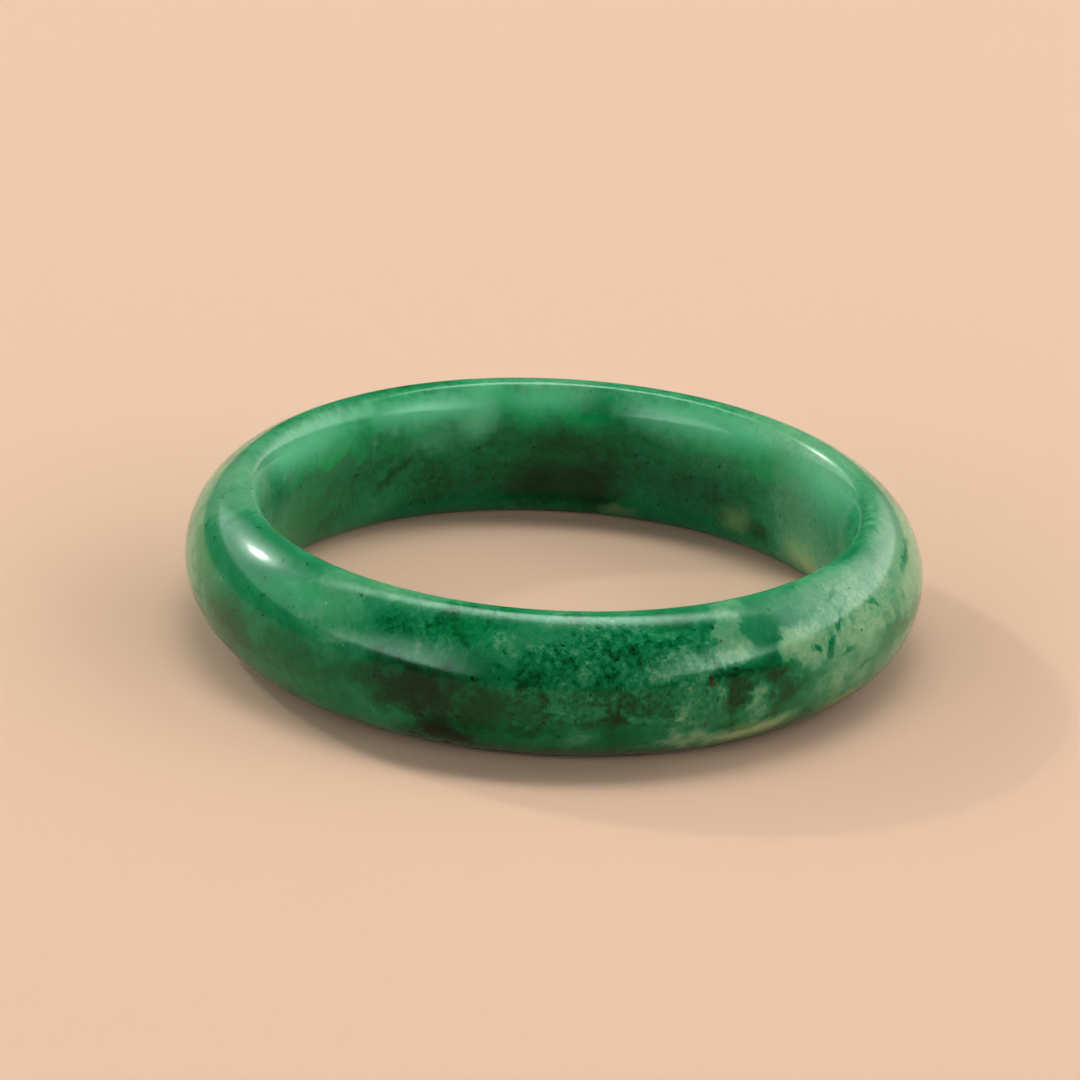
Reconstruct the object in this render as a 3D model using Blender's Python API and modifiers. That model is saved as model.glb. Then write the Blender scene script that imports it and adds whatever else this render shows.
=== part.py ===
"""Solid stone bangle: one ring of jade, nearly flat inside and domed outside.

Units are metres and +Z is up. The ring lies on its lower edge, with the origin
at the middle of the wrist hole on the surface that it rests on.
"""

import math

import bpy
from mathutils import Vector

# Driving dimensions
INNER_RADIUS = 0.02815       # wrist hole, 56.3 mm across
HEIGHT = 0.0142              # width of the band along the wearer's arm
DOME_RADIUS = 0.00764        # arc of the outer face, seen in section
CREST_RADIUS = 0.00165       # tight rounding at the upper and lower edges
SHOULDER_RADIUS = 0.005      # easy rounding between an edge and the flat inner wall

# How far each arc reaches, as the angle of its outward normal in section:
# 0 points away from the wrist, 90 degrees along it and 180 degrees at the wrist.
DOME_END = math.radians(66)
CREST_END = math.radians(140)

# Facets
RING_STEPS = 120
DOME_STEPS = 8
CREST_OUTER_STEPS = 2
CREST_INNER_STEPS = 3
SHOULDER_STEPS = 4
MERGE_DISTANCE = 0.00001

# Polished green jade
STONE_COLOUR = (0.045, 0.200, 0.070, 1.0)
STONE_ROUGHNESS = 0.12
STONE_IOR = 1.54

COLLECTION_NAME = "bangle_bracelet"
NODE_NAME = "bangle"


def clear_scene():
    for item in list(bpy.data.objects):
        bpy.data.objects.remove(item, do_unlink=True)


def normal(angle):
    return Vector((math.cos(angle), math.sin(angle)))


def arc(centre, radius, start, end, steps):
    """Points on an arc of the section, both ends included."""
    return [centre + radius * normal(start + (end - start) * step / steps) for step in range(steps + 1)]


def upper_half():
    """Upper half of the section as (radius, height above mid-height).

    Returns the outer side, from the land down to the dome's crown, and the inner
    side, from the land down to the flat wall. The arcs are tangent to each other.
    Lapping the crest flat at half the band's height leaves a narrow land.
    """
    rise = DOME_RADIUS * math.sin(DOME_END) - CREST_RADIUS * (math.sin(DOME_END) - math.sin(CREST_END))
    wall_top = rise - SHOULDER_RADIUS * math.sin(CREST_END)
    shoulder_centre = Vector((INNER_RADIUS + SHOULDER_RADIUS, wall_top))
    crest_centre = shoulder_centre + (SHOULDER_RADIUS - CREST_RADIUS) * normal(CREST_END)
    dome_centre = crest_centre + (CREST_RADIUS - DOME_RADIUS) * normal(DOME_END)
    land = math.asin((HEIGHT / 2 - crest_centre.y) / CREST_RADIUS)

    outer = arc(crest_centre, CREST_RADIUS, land, DOME_END, CREST_OUTER_STEPS)
    outer += arc(dome_centre, DOME_RADIUS, DOME_END, 0, DOME_STEPS)[1:]
    inner = arc(crest_centre, CREST_RADIUS, math.pi - land, CREST_END, CREST_INNER_STEPS)
    inner += arc(shoulder_centre, SHOULDER_RADIUS, CREST_END, math.pi, SHOULDER_STEPS)[1:]
    return outer, inner


def section():
    """Closed outline at +X: down the domed outside, across the lower edge and up the inner wall."""
    outer, inner = upper_half()
    upward = [(point.x, HEIGHT / 2 + point.y) for point in outer]
    downward = [(point.x, HEIGHT / 2 - point.y) for point in reversed(outer[:-1])]
    lower_inside = [(point.x, HEIGHT / 2 - point.y) for point in inner]
    upper_inside = [(point.x, HEIGHT / 2 + point.y) for point in reversed(inner)]
    return upward + downward + lower_inside + upper_inside


def stone_material():
    material = bpy.data.materials.new("green_jade")
    material.use_nodes = True
    shader = material.node_tree.nodes["Principled BSDF"]
    shader.inputs["Base Color"].default_value = STONE_COLOUR
    shader.inputs["Metallic"].default_value = 0.0
    shader.inputs["Roughness"].default_value = STONE_ROUGHNESS
    shader.inputs["IOR"].default_value = STONE_IOR
    return material


def make_bangle(collection):
    """The section turned once about Z."""
    outline = section()
    edges = [(index, (index + 1) % len(outline)) for index in range(len(outline))]
    mesh = bpy.data.meshes.new(NODE_NAME)
    mesh.from_pydata([(radius, 0, height) for radius, height in outline], edges, [])
    mesh.materials.append(stone_material())
    bangle = bpy.data.objects.new(NODE_NAME, mesh)
    collection.objects.link(bangle)

    turn = bangle.modifiers.new("turn", "SCREW")
    turn.axis = "Z"
    turn.angle = math.tau
    turn.screw_offset = 0
    turn.steps = RING_STEPS
    turn.render_steps = RING_STEPS
    turn.use_merge_vertices = True
    turn.merge_threshold = MERGE_DISTANCE
    turn.use_smooth_shade = True
    return bangle


def main():
    clear_scene()
    collection = bpy.data.collections.new(COLLECTION_NAME)
    bpy.context.scene.collection.children.link(collection)
    make_bangle(collection)


main()
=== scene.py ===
"""Polished green jade bangle, lying on a pale surface under soft studio light."""
import math

import bpy
from mathutils import Matrix, Vector, noise


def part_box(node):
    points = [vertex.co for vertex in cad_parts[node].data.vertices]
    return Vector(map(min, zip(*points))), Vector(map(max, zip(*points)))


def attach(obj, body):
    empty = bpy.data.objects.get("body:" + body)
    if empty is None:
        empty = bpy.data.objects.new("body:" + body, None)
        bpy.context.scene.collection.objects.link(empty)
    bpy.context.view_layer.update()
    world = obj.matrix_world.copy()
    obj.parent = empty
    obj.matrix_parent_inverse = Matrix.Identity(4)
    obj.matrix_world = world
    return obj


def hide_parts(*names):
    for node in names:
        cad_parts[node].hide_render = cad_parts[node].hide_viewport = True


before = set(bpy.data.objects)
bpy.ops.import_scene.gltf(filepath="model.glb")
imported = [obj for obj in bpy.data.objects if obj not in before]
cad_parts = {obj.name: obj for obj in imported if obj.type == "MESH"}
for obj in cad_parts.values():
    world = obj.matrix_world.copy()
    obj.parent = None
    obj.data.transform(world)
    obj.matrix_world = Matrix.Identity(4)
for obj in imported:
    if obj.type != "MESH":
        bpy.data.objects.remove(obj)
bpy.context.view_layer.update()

MM = 0.001

# ---------------------------------------------------------------- size, from the frame
LOW, HIGH = (Vector(corner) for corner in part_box("bangle"))
HEIGHT = (HIGH.z - LOW.z) / MM
OUTER_RADIUS = (HIGH.x - LOW.x) / 2 / MM
MIDDLE = Vector((0, 0, (LOW.z + HIGH.z) / 2))

# ---------------------------------------------------------------- section of the band, in mm
INNER_RADIUS = 28.15
DOME_RADIUS = 7.64
CREST_RADIUS = 1.65
SHOULDER_RADIUS = 5.0
DOME_END = math.radians(66)      # where the dome meets the crest, as the angle of its normal
CREST_END = math.radians(140)    # where the crest meets the shoulder

AROUND = 720
LAND_STEPS = 2
DOME_STEPS = 30
CREST_OUTER_STEPS = 3
CREST_INNER_STEPS = 7
SHOULDER_STEPS = 10
WALL_STEPS = 10

# Unevenness that hand polishing leaves: its mean depth in mm, the waves per mm of its coarse and
# fine parts, and how strong the fine part is beside the coarse one
POLISH_DEPTH = 0.008
COARSE_WAVES = 0.17
FINE_WAVES = 0.55
FINE_SHARE = 0.35
LAND_TOLERANCE = 0.001           # how near the top or bottom counts as the flat land

# The texture layout unrolls the band into strips, one above the other, with gaps round each
STRIPS = 3
END_GAP = 0.002
SIDE_GAP = 0.01


def normal(angle):
    return Vector((math.cos(angle), math.sin(angle)))


def arc(centre, radius, start, end, steps):
    return [centre + radius * normal(start + (end - start) * step / steps) for step in range(steps + 1)]


def straight(start, end, steps):
    return [start.lerp(end, step / steps) for step in range(steps + 1)]


def half_sections():
    """Outer and inner side of the upper half, each from the middle of the land at the top to mid-height.

    Points are (radius, height above mid-height).
    """
    rise = DOME_RADIUS * math.sin(DOME_END) - CREST_RADIUS * (math.sin(DOME_END) - math.sin(CREST_END))
    wall_top = rise - SHOULDER_RADIUS * math.sin(CREST_END)
    shoulder_centre = Vector((INNER_RADIUS + SHOULDER_RADIUS, wall_top))
    crest_centre = shoulder_centre + (SHOULDER_RADIUS - CREST_RADIUS) * normal(CREST_END)
    dome_centre = Vector((OUTER_RADIUS - DOME_RADIUS, 0))
    land = math.asin((HEIGHT / 2 - crest_centre.y) / CREST_RADIUS)
    top = Vector((crest_centre.x, HEIGHT / 2))

    crest = arc(crest_centre, CREST_RADIUS, land, DOME_END, CREST_OUTER_STEPS)
    outer = straight(top, crest[0], LAND_STEPS) + crest[1:]
    outer += arc(dome_centre, DOME_RADIUS, DOME_END, 0, DOME_STEPS)[1:]
    crest = arc(crest_centre, CREST_RADIUS, math.pi - land, CREST_END, CREST_INNER_STEPS)
    inner = straight(top, crest[0], LAND_STEPS) + crest[1:]
    inner += arc(shoulder_centre, SHOULDER_RADIUS, CREST_END, math.pi, SHOULDER_STEPS)[1:]
    inner += straight(inner[-1], Vector((INNER_RADIUS, 0)), WALL_STEPS)[1:]
    return outer, inner


def whole_side(half):
    """A side from the middle of the top land to the middle of the bottom land."""
    return half + [Vector((point.x, -point.y)) for point in reversed(half[:-1])]


OUTER_SIDE, INNER_SIDE = (whole_side(half) for half in half_sections())


def arc_lengths(points):
    lengths = [0.0]
    for here, there in zip(points, points[1:]):
        lengths.append(lengths[-1] + (there - here).length)
    return lengths


def band_vertex(before, here, after, turn):
    """Point of the section turned about Z, in metres, sunk a little by the uneven polish."""
    along = (after - before).normalized()
    inward = Vector((-along.y, along.x))
    dip = 0.0
    if abs(here.y) <= HEIGHT / 2 - LAND_TOLERANCE:
        point = Vector((here.x * math.cos(turn), here.x * math.sin(turn), here.y))
        waves = noise.noise(point * COARSE_WAVES) + FINE_SHARE * noise.noise(point * FINE_WAVES)
        dip = max(POLISH_DEPTH * (1 + waves), 0)
    radius, height = here + inward * dip
    return radius * math.cos(turn) * MM, radius * math.sin(turn) * MM, MIDDLE.z + height * MM


def strip_place(strip, across, up):
    """Texture place of a point of a strip. across and up run from 0 to 1 over the strip."""
    column = END_GAP + (1 - 2 * END_GAP) * across
    row = SIDE_GAP + (1 - 2 * SIDE_GAP) * up
    return column, (strip + row) / STRIPS


def make_band():
    """The section turned about Z. Rows run from the bottom land up the outer side and down the inner side."""
    outline = list(reversed(OUTER_SIDE)) + INNER_SIDE[1:-1]
    rows = len(outline)
    lengths = arc_lengths(outline + outline[:1])
    verts = []
    for column in range(AROUND):
        turn = math.tau * column / AROUND
        for row in range(rows):
            verts.append(band_vertex(outline[row - 1], outline[row], outline[(row + 1) % rows], turn))

    faces, places = [], []
    for column in range(AROUND):
        here, there = column * rows, (column + 1) % AROUND * rows
        strip = column * STRIPS // AROUND
        left, right = (edge * STRIPS / AROUND - strip for edge in (column, column + 1))
        for row in range(rows):
            above = (row + 1) % rows
            bottom, top = (length / lengths[-1] for length in lengths[row:row + 2])
            faces.append((here + row, there + row, there + above, here + above))
            corners = (left, bottom), (right, bottom), (right, top), (left, top)
            places += [strip_place(strip, across, up) for across, up in corners]

    mesh = bpy.data.meshes.new("jade_band")
    mesh.from_pydata(verts, [], faces)
    layer = mesh.uv_layers.new(name="OFBake")
    for corner, place in zip(layer.data, places):
        corner.uv = place
    mesh.shade_smooth()
    band = bpy.data.objects.new("jade_band", mesh)
    bpy.context.scene.collection.objects.link(band)
    return band


# ---------------------------------------------------------------- jade
# How deep clouds of tone, thin wisps of tone and patches of colour reach into the stone, in mm
CLOUD_DEPTH = 3.4
WISP_DEPTH = 1.6
PATCH_DEPTH = 3.0
WISP_SIZE = 1.5                  # a cloud whose half length or half height is no more is a wisp
FRAYED_SIZE = 1.0                # and one no more than this has finely frayed edges


def on_band(side, azimuth, down):
    """Point on the outer or inner side and its outward, sideways and upward directions.

    azimuth is in degrees and down is the distance in mm from the top land, along the section.
    """
    points = OUTER_SIDE if side == "out" else INNER_SIDE
    lengths = arc_lengths(points)
    row = next((index for index in range(1, len(points)) if lengths[index] >= down), len(points) - 1)
    share = (down - lengths[row - 1]) / (lengths[row] - lengths[row - 1])
    here = points[row - 1].lerp(points[row], share)
    up = (points[row - 1] - points[row]).normalized()
    out = Vector((up.y, -up.x)) if side == "out" else Vector((-up.y, up.x))
    turn = Matrix.Rotation(math.radians(azimuth), 3, "Z")
    place = turn @ Vector((here.x, 0, here.y + MIDDLE.z / MM))
    return place, turn @ Vector((out.x, 0, out.y)), turn @ Vector((0, 1, 0)), turn @ Vector((up.x, 0, up.y))


class Graph:
    """Short names for the shader nodes of a material or a light. The stone's lengths are in mm."""

    def __init__(self, owner):
        owner.use_nodes = True
        self.tree = owner.node_tree

    def add(self, kind, values=(), **settings):
        item = self.tree.nodes.new(kind)
        for name, value in settings.items():
            setattr(item, name, value)
        for socket, value in dict(values).items():
            if isinstance(value, bpy.types.NodeSocket):
                self.tree.links.new(value, item.inputs[socket])
            else:
                item.inputs[socket].default_value = value
        return item

    def math(self, operation, first, second=0.0, third=0.0, clamp=False):
        values = {0: first, 1: second, 2: third}
        return self.add("ShaderNodeMath", values, operation=operation, use_clamp=clamp).outputs[0]

    def vector(self, operation, first, second):
        name = "Scale" if operation == "SCALE" else 1
        return self.add("ShaderNodeVectorMath", {0: first, name: second}, operation=operation).outputs[0]

    def dot(self, first, second):
        values = {0: first, 1: second}
        return self.add("ShaderNodeVectorMath", values, operation="DOT_PRODUCT").outputs["Value"]

    def step(self, value, start, end, low=0.0, high=1.0):
        """low where value is at start or before it, high at end or past it, smooth between."""
        values = {"Value": value, "From Min": start, "From Max": end, "To Min": low, "To Max": high}
        return self.add("ShaderNodeMapRange", values, interpolation_type="SMOOTHSTEP").outputs["Result"]

    def noise(self, place, size, detail, roughness, offset=0.0, colour=False):
        """Cloud noise whose largest lumps are about size mm across. Each offset gives other lumps."""
        moved = self.vector("ADD", place, (offset, offset * 1.7, offset * 0.6)) if offset else place
        values = {"Vector": moved, "Scale": 1 / size, "Detail": detail, "Roughness": roughness}
        return self.add("ShaderNodeTexNoise", values).outputs["Color" if colour else "Fac"]

    def pushed(self, place, reach, size, detail, roughness, offset=0.0):
        """place, pushed about by noise of that size, so that what is looked up there gets a ragged edge."""
        push = self.noise(place, size, detail, roughness, offset, colour=True)
        push = self.vector("SUBTRACT", push, (0.5, 0.5, 0.5))
        return self.vector("ADD", place, self.vector("SCALE", push, reach))

    def cloud(self, place, side, azimuth, down, length, height, tilt, blur, depth):
        """1 inside an ellipsoid set into the band's surface, 0 outside, with a soft rim."""
        centre, out, along, up = on_band(side, azimuth, down)
        lean = math.radians(tilt)
        long_way = along * math.cos(lean) + up * math.sin(lean)
        cross_way = up * math.cos(lean) - along * math.sin(lean)
        axes = Matrix((out, long_way, cross_way)).transposed()
        if axes.determinant() < 0:
            axes = Matrix((out, long_way, -cross_way)).transposed()
        values = {"Location": centre, "Rotation": axes.to_euler(), "Scale": (depth, length, height)}
        local = self.add("ShaderNodeMapping", {"Vector": place, **values}, vector_type="TEXTURE").outputs[0]
        ball = self.add("ShaderNodeTexGradient", {"Vector": local}, gradient_type="SPHERICAL").outputs["Fac"]
        return self.step(ball, 0.0, blur)

    def strongest(self, place, rows):
        """Strength at each place of the strongest cloud in a list."""
        strength = 0.0
        for side, azimuth, down, length, height, tilt, blur, amount in rows:
            depth = min(PATCH_DEPTH, max(length, height))
            cloud = self.cloud(place, side, azimuth, down, length, height, tilt, blur, depth)
            strength = self.math("MAXIMUM", strength, self.math("MULTIPLY", cloud, amount))
        return strength

    def dots(self, place, cells_per_mm, channel, empty, largest, rim):
        """1 inside small round dots. A share of the cells, empty, has none. Sizes are in cells."""
        cells = self.add("ShaderNodeTexVoronoi", {"Vector": place, "Scale": cells_per_mm})
        chance = self.add("ShaderNodeSeparateColor", {0: cells.outputs["Color"]}).outputs[channel]
        radius = self.step(chance, empty, 1.0, 0.0, largest)
        return self.step(self.math("SUBTRACT", radius, cells.outputs["Distance"]), 0.0, rim)

    def mix(self, share, first, second):
        values = {0: share, 2: first, 3: second}
        return self.add("ShaderNodeMix", values, data_type="FLOAT").outputs[0]

    def mix_colour(self, share, first, second):
        values = {0: share, 6: first, 7: second}
        return self.add("ShaderNodeMix", values, data_type="RGBA").outputs[2]


# Cloudiness of the stone, from 0, palest mint, to 1, nearly black green. Some rows paint light or shade
# instead, as noted where they stand. Each row sets the tone of one cloud: side, azimuth, mm down from the
# top, half length, half height, tilt, blur, tone.
CLOUDS = [
    # outer side, left of the front: bluish mid green
    ("out", -150, 4.0, 26, 7.0, 0, 0.8, 0.52),
    ("out", -146, 10.6, 22, 6.5, 0, 1.0, 0.76),
    ("out", -129, 3.4, 6.5, 3.6, 0, 0.8, 0.36),
    ("out", -125, 9.6, 10, 4.4, 0, 1.0, 0.71),
    ("out", -138, 14.0, 16, 2.6, 0, 0.8, 0.58),
    # emerald and veined stone
    ("out", -104, 3.0, 5.5, 3.2, 0, 0.7, 0.74),
    ("out", -116, 3.8, 5.6, 4.2, 0, 1.0, 0.68),
    ("out", -95, 3.6, 5.0, 3.4, 0, 0.8, 0.34),
    # rows about 9 to 11 mm down on this part of the front are set a little darker, partly as painted shade
    ("out", -99, 10.6, 5.8, 4.2, 0, 1.0, 0.86),
    ("out", -90, 8.8, 3.6, 2.4, 0, 1.0, 0.62),
    ("out", -87, 6.0, 5.0, 2.8, 0, 0.9, 0.60),
    ("out", -80, 4.8, 3.0, 2.2, 0, 1.0, 0.52),
    ("out", -86, 9.8, 3.2, 2.4, 0, 0.9, 0.56),
    ("out", -85, 6.4, 1.4, 1.2, 0, 0.9, 0.42),
    # lighter near the bottom as painted glow of light through the stone
    ("out", -87, 13.6, 6.5, 2.8, 0, 0.9, 0.34),
    ("out", -79.5, 11.0, 5.2, 3.0, 60, 1.0, 0.84),
    ("out", -110, 9.6, 8.0, 4.0, 0, 1.0, 0.96),
    ("out", -106, 14.0, 6.5, 4.4, 0, 1.0, 1.0),
    # front right
    ("out", -70, 6.3, 6.5, 2.4, 4, 0.8, 0.30),
    ("out", -68, 10.5, 4.8, 3.2, 0, 0.8, 0.42),
    ("out", -71, 2.8, 6.0, 1.4, 2, 0.9, 0.28),
    ("out", -60, 2.4, 4.6, 3.2, 2, 1.0, 0.16),
    # these two rows are pale as painted glow of light through the stone near the bottom
    ("out", -68, 14.0, 6.0, 2.6, 5, 0.9, 0.10),
    ("out", -57, 14.4, 9.0, 2.4, 5, 0.8, 0.0),
    ("out", -57, 10.6, 3.6, 1.8, 35, 0.9, 0.14),
    ("out", -62.6, 9.0, 1.2, 3.4, 12, 0.9, 0.24),
    ("out", -61, 4.8, 2.4, 1.6, 25, 0.8, 0.08),
    # pale mint at the right
    ("out", -32, 4.2, 15.5, 7.4, 3, 0.9, 0.14),
    ("out", -8, 5.0, 14.0, 6.0, 3, 0.5, 0.14),
    ("out", -31, 7.4, 12.0, 3.4, 3, 1.0, 0.06),
    ("out", -39, 10.4, 9.0, 3.8, 5, 1.0, 0.10),
    ("out", -46, 6.6, 3.8, 3.0, 0, 1.0, 0.10),
    ("out", -6, 1.0, 18, 3.4, 0, 1.0, 0.16),
    ("out", -20, 12.5, 14.0, 4.0, 5, 0.6, 0.34),
    # dark wedge and its tongues
    ("out", -57.5, 7.4, 4.2, 1.5, 4, 0.9, 0.76),
    ("out", -60.4, 8.8, 2.6, 1.1, -60, 0.8, 0.84),
    ("out", -51.0, 9.2, 2.4, 1.7, 50, 0.9, 0.82),
    ("out", -50.5, 12.0, 2.4, 1.0, -10, 0.9, 0.62),
    ("out", -53.5, 8.0, 2.2, 0.7, 15, 0.8, 0.92),
    ("out", -49.5, 6.6, 2.8, 2.2, 60, 0.9, 0.02),
    # wisps in the pale stone
    ("out", -39.0, 5.2, 1.9, 0.5, 48, 0.9, 0.66),
    ("out", -42.5, 7.3, 2.1, 0.6, 60, 0.9, 0.70),
    ("out", -38.5, 8.2, 1.4, 0.6, 10, 0.9, 0.62),
    ("out", -38.0, 2.6, 2.4, 0.5, 28, 0.9, 0.46),
    ("out", -29.5, 5.0, 1.6, 0.4, -35, 0.9, 0.48),
    ("out", -45.5, 6.8, 0.9, 0.7, 0, 0.9, 0.70),
    ("out", -33.0, 10.3, 2.0, 0.5, 5, 0.9, 0.50),
    ("out", -10.0, 4.3, 5.0, 0.7, 6, 0.9, 0.50),
    # saturated tongues that reach the rim left of the pale stone
    ("out", -55.5, 3.2, 2.6, 1.9, 30, 0.8, 0.54),
    ("out", -54.0, 1.4, 1.0, 1.6, 25, 0.9, 0.50),
    ("out", -64.5, 2.6, 2.0, 0.9, 40, 0.9, 0.66),
    ("out", -53.5, 4.8, 1.9, 0.7, 15, 0.8, 0.60),
    # inner side: paler near the top as painted glow of light through the stone, darker lower down
    ("in", 30, 2.5, 18, 4.4, 0, 1.0, 0.18),
    ("in", 62, 2.8, 18, 3.8, 0, 1.0, 0.2),
    ("in", 25, 7.0, 13, 4.4, 0, 1.0, 0.36),
    ("in", 55, 6.4, 14, 3.4, 0, 1.0, 0.38),
    ("in", 57, 11.0, 13, 5.4, 0, 1.0, 0.68),
    ("in", 92, 1.6, 9, 3.4, 0, 1.0, 0.25),
    ("in", 90, 7.0, 11, 2.6, 0, 1.0, 0.72),
    ("in", 91, 11.2, 14, 6.4, 0, 1.0, 0.96),
    ("in", 120, 2.8, 15, 3.8, 0, 1.0, 0.2),
    ("in", 107, 3.8, 4.6, 3.6, -50, 1.0, 0.14),
    ("in", 116, 11.8, 9, 4.6, 0, 1.0, 0.74),
    ("in", 143, 6.0, 10, 3.0, 0, 1.0, 0.46),
    ("in", 148, 11.0, 13, 4.6, 0, 1.0, 0.76),
    ("in", 152, 2.6, 19, 3.8, 0, 1.0, 0.2),
    ("in", 117, 6.6, 4.4, 2.4, 0, 1.0, 0.46),
    ("in", 124.5, 5.2, 1.1, 0.9, 40, 0.9, 0.74),
    ("in", 124.0, 8.4, 2.8, 0.9, -30, 1.0, 0.76),
    ("in", 128.0, 9.8, 2.6, 1.0, -45, 1.0, 0.82),
    ("in", 131.5, 5.6, 1.8, 0.6, 70, 0.9, 0.30),
    ("in", 158, 5.5, 2.0, 2.6, 0, 1.0, 0.40),
    ("in", 165, 5.5, 1.2, 3.0, 0, 0.8, 0.60),
    ("in", 43.5, 12.2, 2.8, 1.8, 0, 1.0, 0.80),
    ("in", 48.0, 5.6, 0.9, 0.6, 0, 0.9, 0.74),
]
# Where the stone is mottled, bright emerald, threaded with dark veins, smoky and rusty, and where light
# is painted into it as a glow: emerald and mint near the top of the inner side, yellowish near the bottom.
# Each row ends with how strongly.
MOTTLED = [
    ("out", -78, 7.0, 26, 11, 0, 0.4, 1.0),
    ("out", -104, 3.0, 8, 4, 0, 0.7, 0.8),
    ("out", -36, 5.0, 12, 4, 0, 0.7, 0.45),
    ("in", 55, 9.0, 14, 6, 0, 0.6, 0.2),
    ("in", 122, 8.0, 14, 6, 0, 0.6, 0.25),
]
# Bright emerald: the outer rows are the stone's own, the inner rows near the top are painted glow of light
# through the stone.
VIVID_AND_GLOW = [
    ("in", 94, 3.6, 12, 2.4, 0, 0.9, 0.75),
    ("in", 140, 3.2, 14, 2.6, 0, 0.9, 0.5),
    ("in", 48, 4.0, 14, 2.4, 0, 0.9, 0.5),
    ("out", -134, 4.6, 10, 2.4, 0, 0.9, 0.3),
    ("in", 146, 5.6, 10, 1.8, 0, 0.9, 0.9),
    ("in", 124, 5.6, 6, 1.8, 0, 0.9, 0.6),
    ("in", 93, 4.0, 8, 1.4, 0, 0.9, 0.7),
    ("in", 150, 10.5, 12, 3.4, 0, 0.8, 0.2),
    ("in", 50, 5.4, 12, 1.8, 0, 0.8, 0.6),
    ("out", -102, 3.4, 6, 2.4, 0, 1.0, 0.2),
    ("out", -72, 3.0, 5, 1.2, 0, 0.8, 0.15),
]
VEINED = [
    ("out", -115.5, 4.0, 4.0, 4.8, 0, 1.0, 0.35),
    ("out", -110, 10.0, 6.0, 4.5, 0, 0.7, 0.5),
    ("out", -86, 4.0, 6.0, 4.5, 0, 0.8, 0.45),
    ("out", -65, 9.0, 3.0, 5.0, 0, 0.8, 0.35),
    ("in", 126, 8.0, 6.0, 3.5, 0, 0.8, 0.15),
]
# Painted light: mint glow of light through the stone near the top of the inner side, with the soft
# reflections of the side lights there.
PAINTED_INNER_GLOW = [
    ("in", 22, 4.2, 14, 4.4, 0, 1.0, 0.55),
    ("in", 60, 3.2, 17, 3.2, 0, 1.0, 0.9),
    ("in", 94, 2.8, 8, 2.4, 0, 1.0, 0.8),
    ("in", 118, 3.2, 15, 3.0, 0, 1.0, 1.0),
    ("in", 107, 3.6, 5.0, 3.6, -50, 1.0, 0.9),
    ("in", 117, 6.0, 4.4, 2.6, 0, 1.0, 0.35),
    ("in", 152, 3.4, 17, 3.2, 0, 1.0, 0.85),
]
SMOKY = [
    ("out", -109.5, 9.6, 8.5, 4.2, 0, 1.0, 0.9),
    ("out", -106, 14.0, 5.0, 4.4, 0, 0.9, 0.8),
    ("out", -86, 1.2, 2.6, 0.9, 0, 0.8, 0.35),
    ("in", 60, 10.0, 9.0, 4.2, 0, 1.0, 0.25),
    ("in", 82, 11.4, 5.0, 6.0, 0, 1.0, 0.85),
    ("in", 97, 12.6, 5.0, 3.0, 0, 1.0, 0.35),
]
RUSTY = [
    ("out", -65.3, 7.6, 0.75, 0.3, 80, 0.7, 1.0),
    ("out", -64.8, 8.3, 0.45, 0.3, 10, 0.7, 1.0),
    ("out", -64.2, 6.3, 0.35, 0.3, 0, 0.9, 0.7),
    ("out", -62.4, 4.4, 0.45, 0.2, 10, 0.9, 0.8),
    ("out", -62.7, 10.0, 0.9, 0.4, 70, 0.9, 0.6),
    ("out", -65.7, 12.1, 0.45, 0.3, 80, 0.9, 0.8),
    ("out", -48.0, 2.7, 0.35, 0.2, 20, 0.9, 0.6),
]
# Painted light: yellowish warm glow near the bottom of both sides, where the floor throws light up into the
# stone.
WARM_GLOW_PAINTED = [
    ("out", -56, 14.6, 6.5, 2.2, 5, 1.0, 0.6),
    ("out", -36, 14.0, 6.0, 1.6, 5, 0.9, 0.4),
    ("in", 27, 13.2, 6.0, 3.0, 15, 1.0, 0.60),
    ("in", 50, 12.0, 2.4, 3.4, 65, 1.0, 0.26),
    ("in", 77.5, 14.4, 3.0, 1.4, 0, 1.0, 0.30),
]


# Colours of the stone, from its palest clouds to its darkest, and the tone that each stands for
STONE = [
    (0.00, (0.245, 0.430, 0.240)),
    (0.20, (0.105, 0.310, 0.155)),
    (0.42, (0.016, 0.205, 0.080)),
    (0.60, (0.002, 0.152, 0.047)),
    (0.78, (0.001, 0.068, 0.013)),
    (1.00, (0.002, 0.016, 0.003)),
]
EMERALD = (0.001, 0.360, 0.090, 1)
# mint of the painted glow near the top of the inner side
GLOW_MINT = (0.110, 0.520, 0.275, 1)
SMOKE = (0.003, 0.013, 0.002, 1)
# yellow of the painted warm glow near the bottom
WARM_GLOW_YELLOW = (0.330, 0.430, 0.170, 1)
RUST = (0.060, 0.012, 0.007, 1)
PIT = (0.45, 0.48, 0.36, 1)

JADE = {
    "IOR": 1.37,
    "Specular Tint": (0.62, 1.0, 0.82, 1),
    "Subsurface Weight": 0.9,
    "Subsurface Radius": (0.3, 1.0, 0.5),
    "Subsurface Scale": 4.5 * MM,
}
ROUGHNESS = 0.10, 0.17           # of its best and worst polished spots
GRAIN_HEIGHT = 0.004             # in mm


def stone_colour(graph, tone):
    """Colour of the bare stone, without its patches of other colours."""
    ramp = graph.add("ShaderNodeValToRGB", {0: tone})
    stops = ramp.color_ramp.elements
    while len(stops) < len(STONE):
        stops.new(0.5)
    for stop, (position, colour) in zip(stops, STONE):
        stop.position = position
        stop.color = (*colour, 1)
    return ramp.outputs["Color"]


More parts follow.
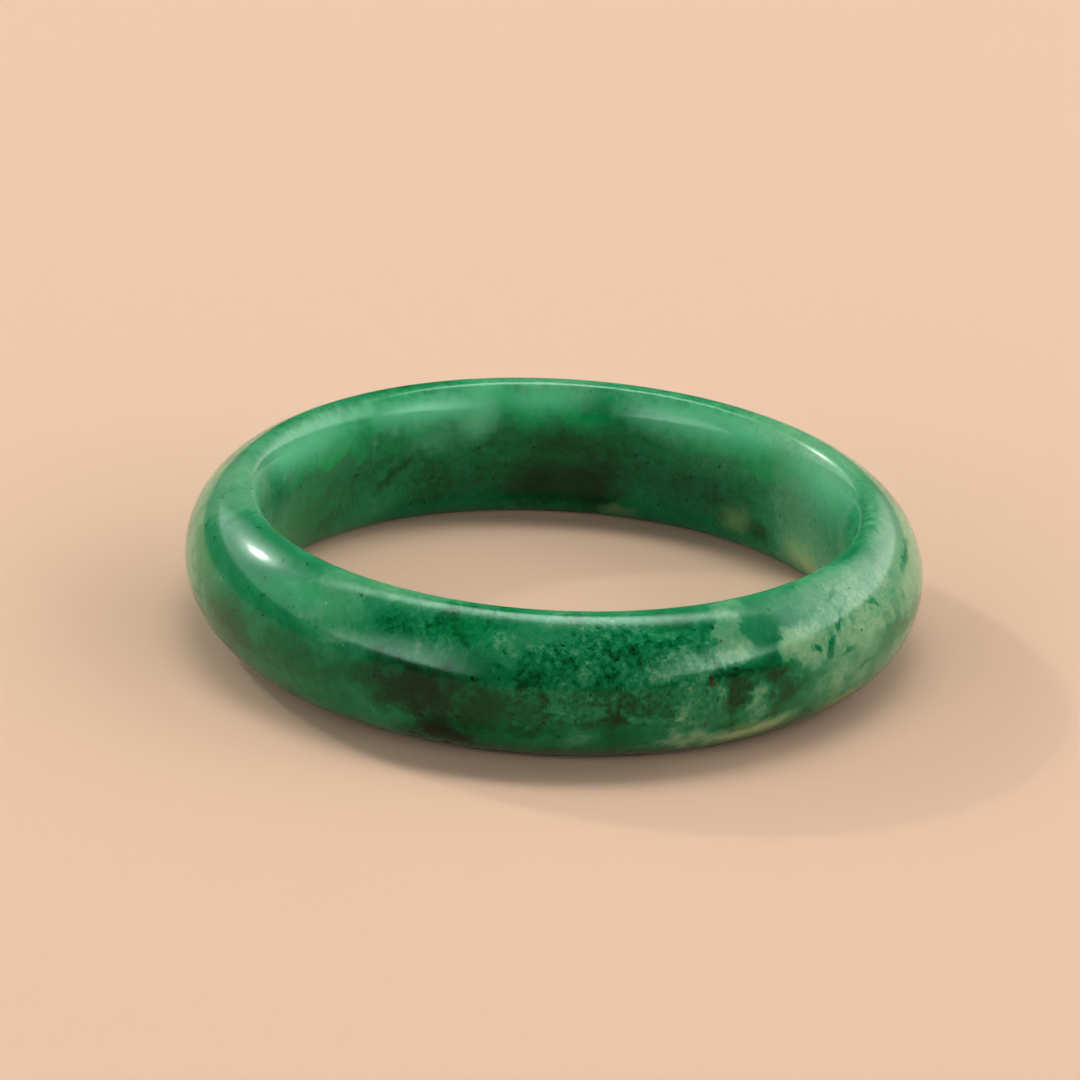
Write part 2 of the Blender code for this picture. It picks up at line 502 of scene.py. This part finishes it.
def clouded(graph, ragged, frayed):
    """Tone of the stone's clouds: soft random ones, and over them the ones that are listed, some of which
    paint light and shade.
    """
    tone = graph.step(graph.noise(ragged, 22.0, 2.0, 0.5, offset=8), 0.3, 0.7, 0.22, 0.74)
    for side, azimuth, down, length, height, tilt, blur, target in CLOUDS:
        smallest = min(length, height)
        depth = CLOUD_DEPTH if smallest > WISP_SIZE else WISP_DEPTH
        place = frayed if side == "in" or smallest <= FRAYED_SIZE else ragged
        cloud = graph.cloud(place, side, azimuth, down, length, height, tilt, blur, depth)
        tone = graph.mix(cloud, tone, target)
    return tone


def mottled(graph, tone, place, ragged):
    """tone with lumps of three sizes, stronger in the mottled parts of the stone."""
    busy = graph.math("MULTIPLY_ADD", graph.strongest(ragged, MOTTLED), 0.9, 0.25)
    lumps = [
        (ragged, 5.0, 6.0, 3, 0.7),
        (ragged, 1.5, 6.0, 17, 1.0),
        (place, 0.55, 4.0, 43, 0.7),
    ]
    for where, size, detail, offset, amount in lumps:
        lump = graph.math("SUBTRACT", graph.noise(where, size, detail, 0.62, offset), 0.5)
        tone = graph.math("MULTIPLY_ADD", graph.math("MULTIPLY", lump, busy), amount, tone)
    return tone


def threaded(graph, tone, place, ragged):
    """tone with dark threads and specks in the veined parts of the stone."""
    off_middle = graph.math("SUBTRACT", graph.noise(ragged, 2.6, 4.0, 0.6, offset=61), 0.5)
    threads = graph.step(graph.math("ABSOLUTE", off_middle), 0.035, 0.0)
    specks = graph.step(graph.noise(place, 0.55, 2.0, 0.5, offset=71), 0.60, 0.74)
    dark = graph.math("MULTIPLY", graph.math("MAXIMUM", threads, specks), graph.strongest(ragged, VEINED))
    return graph.math("MULTIPLY_ADD", dark, 0.5, tone)


def make_jade():
    material = bpy.data.materials.new("jade")
    graph = Graph(material)
    place = graph.vector("SCALE", graph.add("ShaderNodeTexCoord").outputs["Object"], 1 / MM)
    ragged = graph.pushed(place, reach=8.0, size=4.0, detail=7.0, roughness=0.62)
    frayed = graph.pushed(place, reach=2.0, size=1.1, detail=4.0, roughness=0.6, offset=31)

    tone = clouded(graph, ragged, frayed)
    tone = mottled(graph, tone, place, ragged)
    tone = threaded(graph, tone, place, ragged)
    flecks = graph.dots(frayed, cells_per_mm=0.75, channel=0, empty=0.30, largest=0.20, rim=0.06)
    tone = graph.math("MULTIPLY_ADD", flecks, 0.30, tone, clamp=True)

    colour = stone_colour(graph, tone)
    # emerald of the stone, and painted glow near the top of the inner side
    colour = graph.mix_colour(graph.strongest(ragged, VIVID_AND_GLOW), colour, EMERALD)
    # painted glow and painted reflection near the top of the inner side
    colour = graph.mix_colour(graph.strongest(frayed, PAINTED_INNER_GLOW), colour, GLOW_MINT)
    colour = graph.mix_colour(graph.strongest(ragged, SMOKY), colour, SMOKE)
    # painted warm glow near the bottom
    colour = graph.mix_colour(graph.strongest(frayed, WARM_GLOW_PAINTED), colour, WARM_GLOW_YELLOW)
    colour = graph.mix_colour(graph.strongest(frayed, RUSTY), colour, RUST)
    elsewhere = graph.vector("ADD", frayed, (5, 3, 9))
    pits = graph.dots(elsewhere, cells_per_mm=0.30, channel=1, empty=0.80, largest=0.065, rim=0.02)
    colour = graph.mix_colour(graph.math("MULTIPLY", pits, 0.75), colour, PIT)

    rough = graph.step(graph.noise(place, 0.35, 3.0, 0.6, offset=97), 0.3, 0.7, *ROUGHNESS)
    grain = graph.noise(place, 0.28, 2.0, 0.5, offset=55)
    bump = graph.add("ShaderNodeBump", {"Height": grain, "Distance": GRAIN_HEIGHT * MM, "Strength": 0.6})
    shader = graph.tree.nodes["Principled BSDF"]
    graph.tree.links.new(colour, shader.inputs["Base Color"])
    graph.tree.links.new(rough, shader.inputs["Roughness"])
    graph.tree.links.new(bump.outputs["Normal"], shader.inputs["Normal"])
    for name, value in JADE.items():
        shader.inputs[name].default_value = value
    return material


band = make_band()
band.data.materials.append(make_jade())
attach(band, "root")
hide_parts("bangle")

# ---------------------------------------------------------------- camera
CAMERA_DISTANCE = 529.1 * MM
CAMERA_ELEVATION = math.radians(22.167)
CAMERA_ROLL = math.radians(2.965)
AIM = Vector((-1.47 * MM, 0, 1.75 * MM))
LENS_MM = 181.57


def add_camera():
    data = bpy.data.cameras.new("camera")
    data.sensor_width = 36
    data.lens = LENS_MM
    data.clip_start = 0.01
    camera = bpy.data.objects.new("camera", data)
    offset = Vector((0, -math.cos(CAMERA_ELEVATION), math.sin(CAMERA_ELEVATION))) * CAMERA_DISTANCE
    camera.location = MIDDLE + offset
    look = MIDDLE + AIM - camera.location
    upright = look.to_track_quat("-Z", "Y").to_matrix().to_4x4()
    camera.matrix_world = Matrix.Translation(camera.location) @ upright @ Matrix.Rotation(CAMERA_ROLL, 4, "Z")
    bpy.context.scene.collection.objects.link(camera)
    bpy.context.scene.camera = camera


add_camera()


# ---------------------------------------------------------------- floor
FLOOR_SIZE = 6.0                 # in metres
FLOOR_COLOUR = (0.556, 0.402, 0.280, 1)


def add_floor():
    bpy.ops.mesh.primitive_plane_add(size=FLOOR_SIZE)
    floor = bpy.context.object
    floor.name = "floor"
    material = bpy.data.materials.new("floor")
    material.use_nodes = True
    shader = material.node_tree.nodes["Principled BSDF"]
    shader.inputs["Base Color"].default_value = FLOOR_COLOUR
    shader.inputs["Roughness"].default_value = 0.9
    shader.inputs["Specular IOR Level"].default_value = 0.2
    floor.data.materials.append(material)


add_floor()


# ---------------------------------------------------------------- light
LIGHT_DISTANCE = 2.0             # in metres
WORLD_BRIGHTNESS = 0.07

KEY_AZIMUTH, KEY_ELEVATION = 141.2, 31.7
KEY_SIZE = 0.1                   # in metres
KEY_RADIANCE = 350.0
KEY_COLOUR = (1.0, 0.95, 0.88)

# Radiance, colour and corners of each softbox. The corners are (azimuth, elevation, blur), in order
# round the patch of the studio that the softbox covers as seen from the bangle. The first two are in
# degrees. blur is the width of the soft edge from that corner to the next, in metres at one metre.
SOFTBOXES = {
    "key_glow": (16.0, (1.0, 0.97, 0.93), [(127, 19, 0.3), (155, 19, 0.3), (157, 44, 0.3), (125, 44, 0.3)]),
    "left_box": (10.0, (1.0, 0.90, 0.95), [
        (-106, 7, 0.55), (-112, 58, 0.9), (-146, 50, 0.25), (-168, 15, 0.02),
    ]),
    "right_box": (5.2, (1.0, 0.92, 0.95), [
        (-10, 20, 0.03), (-4, 36, 0.04), (12, 50, 0.06), (42, 58, 0.08), (78, 50, 1.3), (78, 3, 0.02),
    ]),
    "right_low_box": (9.5, (1.0, 0.94, 0.95), [
        (-63, 9, 0.55), (-63, 46, 0.6), (-22, 46, 0.3), (-6, 20, 0.02),
    ]),
    "top_box": (14.5, (1.0, 0.93, 0.94), [
        (20, 42, 0.22), (155, 33, 0.35), (170, 76, 0.15), (-10, 76, 0.35),
    ]),
    "overhead": (0.85, (0.96, 0.98, 1.0), [(-135, 48, 0.5), (-45, 48, 0.5), (45, 48, 0.5), (135, 48, 0.5)]),
    "back_fill": (1.8, (0.92, 0.97, 1.0), [(118, 11, 0.02), (195, 14, 0.2), (195, 45, 0.3), (118, 45, 0.2)]),
}


def direction(azimuth, elevation):
    """Unit vector; azimuth in degrees from +X towards +Y, elevation above the floor."""
    azimuth, elevation = math.radians(azimuth), math.radians(elevation)
    flat = math.cos(elevation)
    return Vector((flat * math.cos(azimuth), flat * math.sin(azimuth), math.sin(elevation)))


def add_area_light(name, place, facing, size, radiance, colour, shape):
    """Area light whose face has the given brightness. place is seen from the middle of the bangle."""
    data = bpy.data.lights.new(name, "AREA")
    data.shape = shape
    data.size, data.size_y = size
    data.energy = radiance * math.pi * size[0] * size[1] * (math.pi / 4 if shape == "DISK" else 1)
    data.color = colour
    light = bpy.data.objects.new(name, data)
    light.rotation_euler = facing.to_track_quat("Z", "Y").to_euler()
    light.location = MIDDLE + place
    bpy.context.scene.collection.objects.link(light)
    return data


def add_softbox(name, radiance, colour, corners):
    """Area light that faces the bangle and just holds all the corners."""
    rays = [direction(azimuth, elevation) for azimuth, elevation, blur in corners]
    facing = sum(rays, Vector()).normalized()
    sideways = Vector((0, 0, 1)).cross(facing).normalized()
    upward = facing.cross(sideways)
    points = [Vector((ray @ sideways, ray @ upward)) / (ray @ facing) for ray in rays]
    low = Vector((min(p.x for p in points), min(p.y for p in points)))
    size = Vector((max(p.x for p in points), max(p.y for p in points))) - low
    centre = low + size / 2
    place = (facing + sideways * centre.x + upward * centre.y) * LIGHT_DISTANCE
    data = add_area_light(name, place, facing, size * LIGHT_DISTANCE, radiance, colour, "RECTANGLE")
    dim_edges(data, corners, points, low, size)


def dim_edges(data, corners, points, low, size):
    """Dims a rectangular light's face outside its corners, softly at each edge."""
    graph = Graph(data)
    face = graph.add("ShaderNodeNewGeometry").outputs["Parametric"]
    edges = list(zip(points, points[1:] + points[:1]))
    area = sum(a.x * b.y - b.x * a.y for a, b in edges)
    strength = 1.0
    for (azimuth, elevation, blur), (start, end) in zip(corners, edges):
        along = (end - start).normalized() * math.copysign(1, area)
        inside = Vector((-along.y, along.x))
        reach = graph.dot(face, (inside.x * size.x, inside.y * size.y, 0))
        edge = inside @ (start - low)
        strength = graph.math("MULTIPLY", strength, graph.step(reach, edge, edge + blur))
    emission = next(item for item in graph.tree.nodes if item.type == "EMISSION")
    graph.tree.links.new(strength, emission.inputs["Strength"])


KEY = direction(KEY_AZIMUTH, KEY_ELEVATION)
add_area_light("key", KEY * LIGHT_DISTANCE, KEY, (KEY_SIZE, KEY_SIZE), KEY_RADIANCE, KEY_COLOUR, "DISK")
for name, (radiance, colour, corners) in SOFTBOXES.items():
    add_softbox(name, radiance, colour, corners)

world = bpy.data.worlds.new("studio")
bpy.context.scene.world = world
world.use_nodes = True
world.node_tree.nodes["Background"].inputs["Color"].default_value = (1, 1, 1, 1)
world.node_tree.nodes["Background"].inputs["Strength"].default_value = WORLD_BRIGHTNESS
bpy.context.scene.view_settings.view_transform = "Standard"
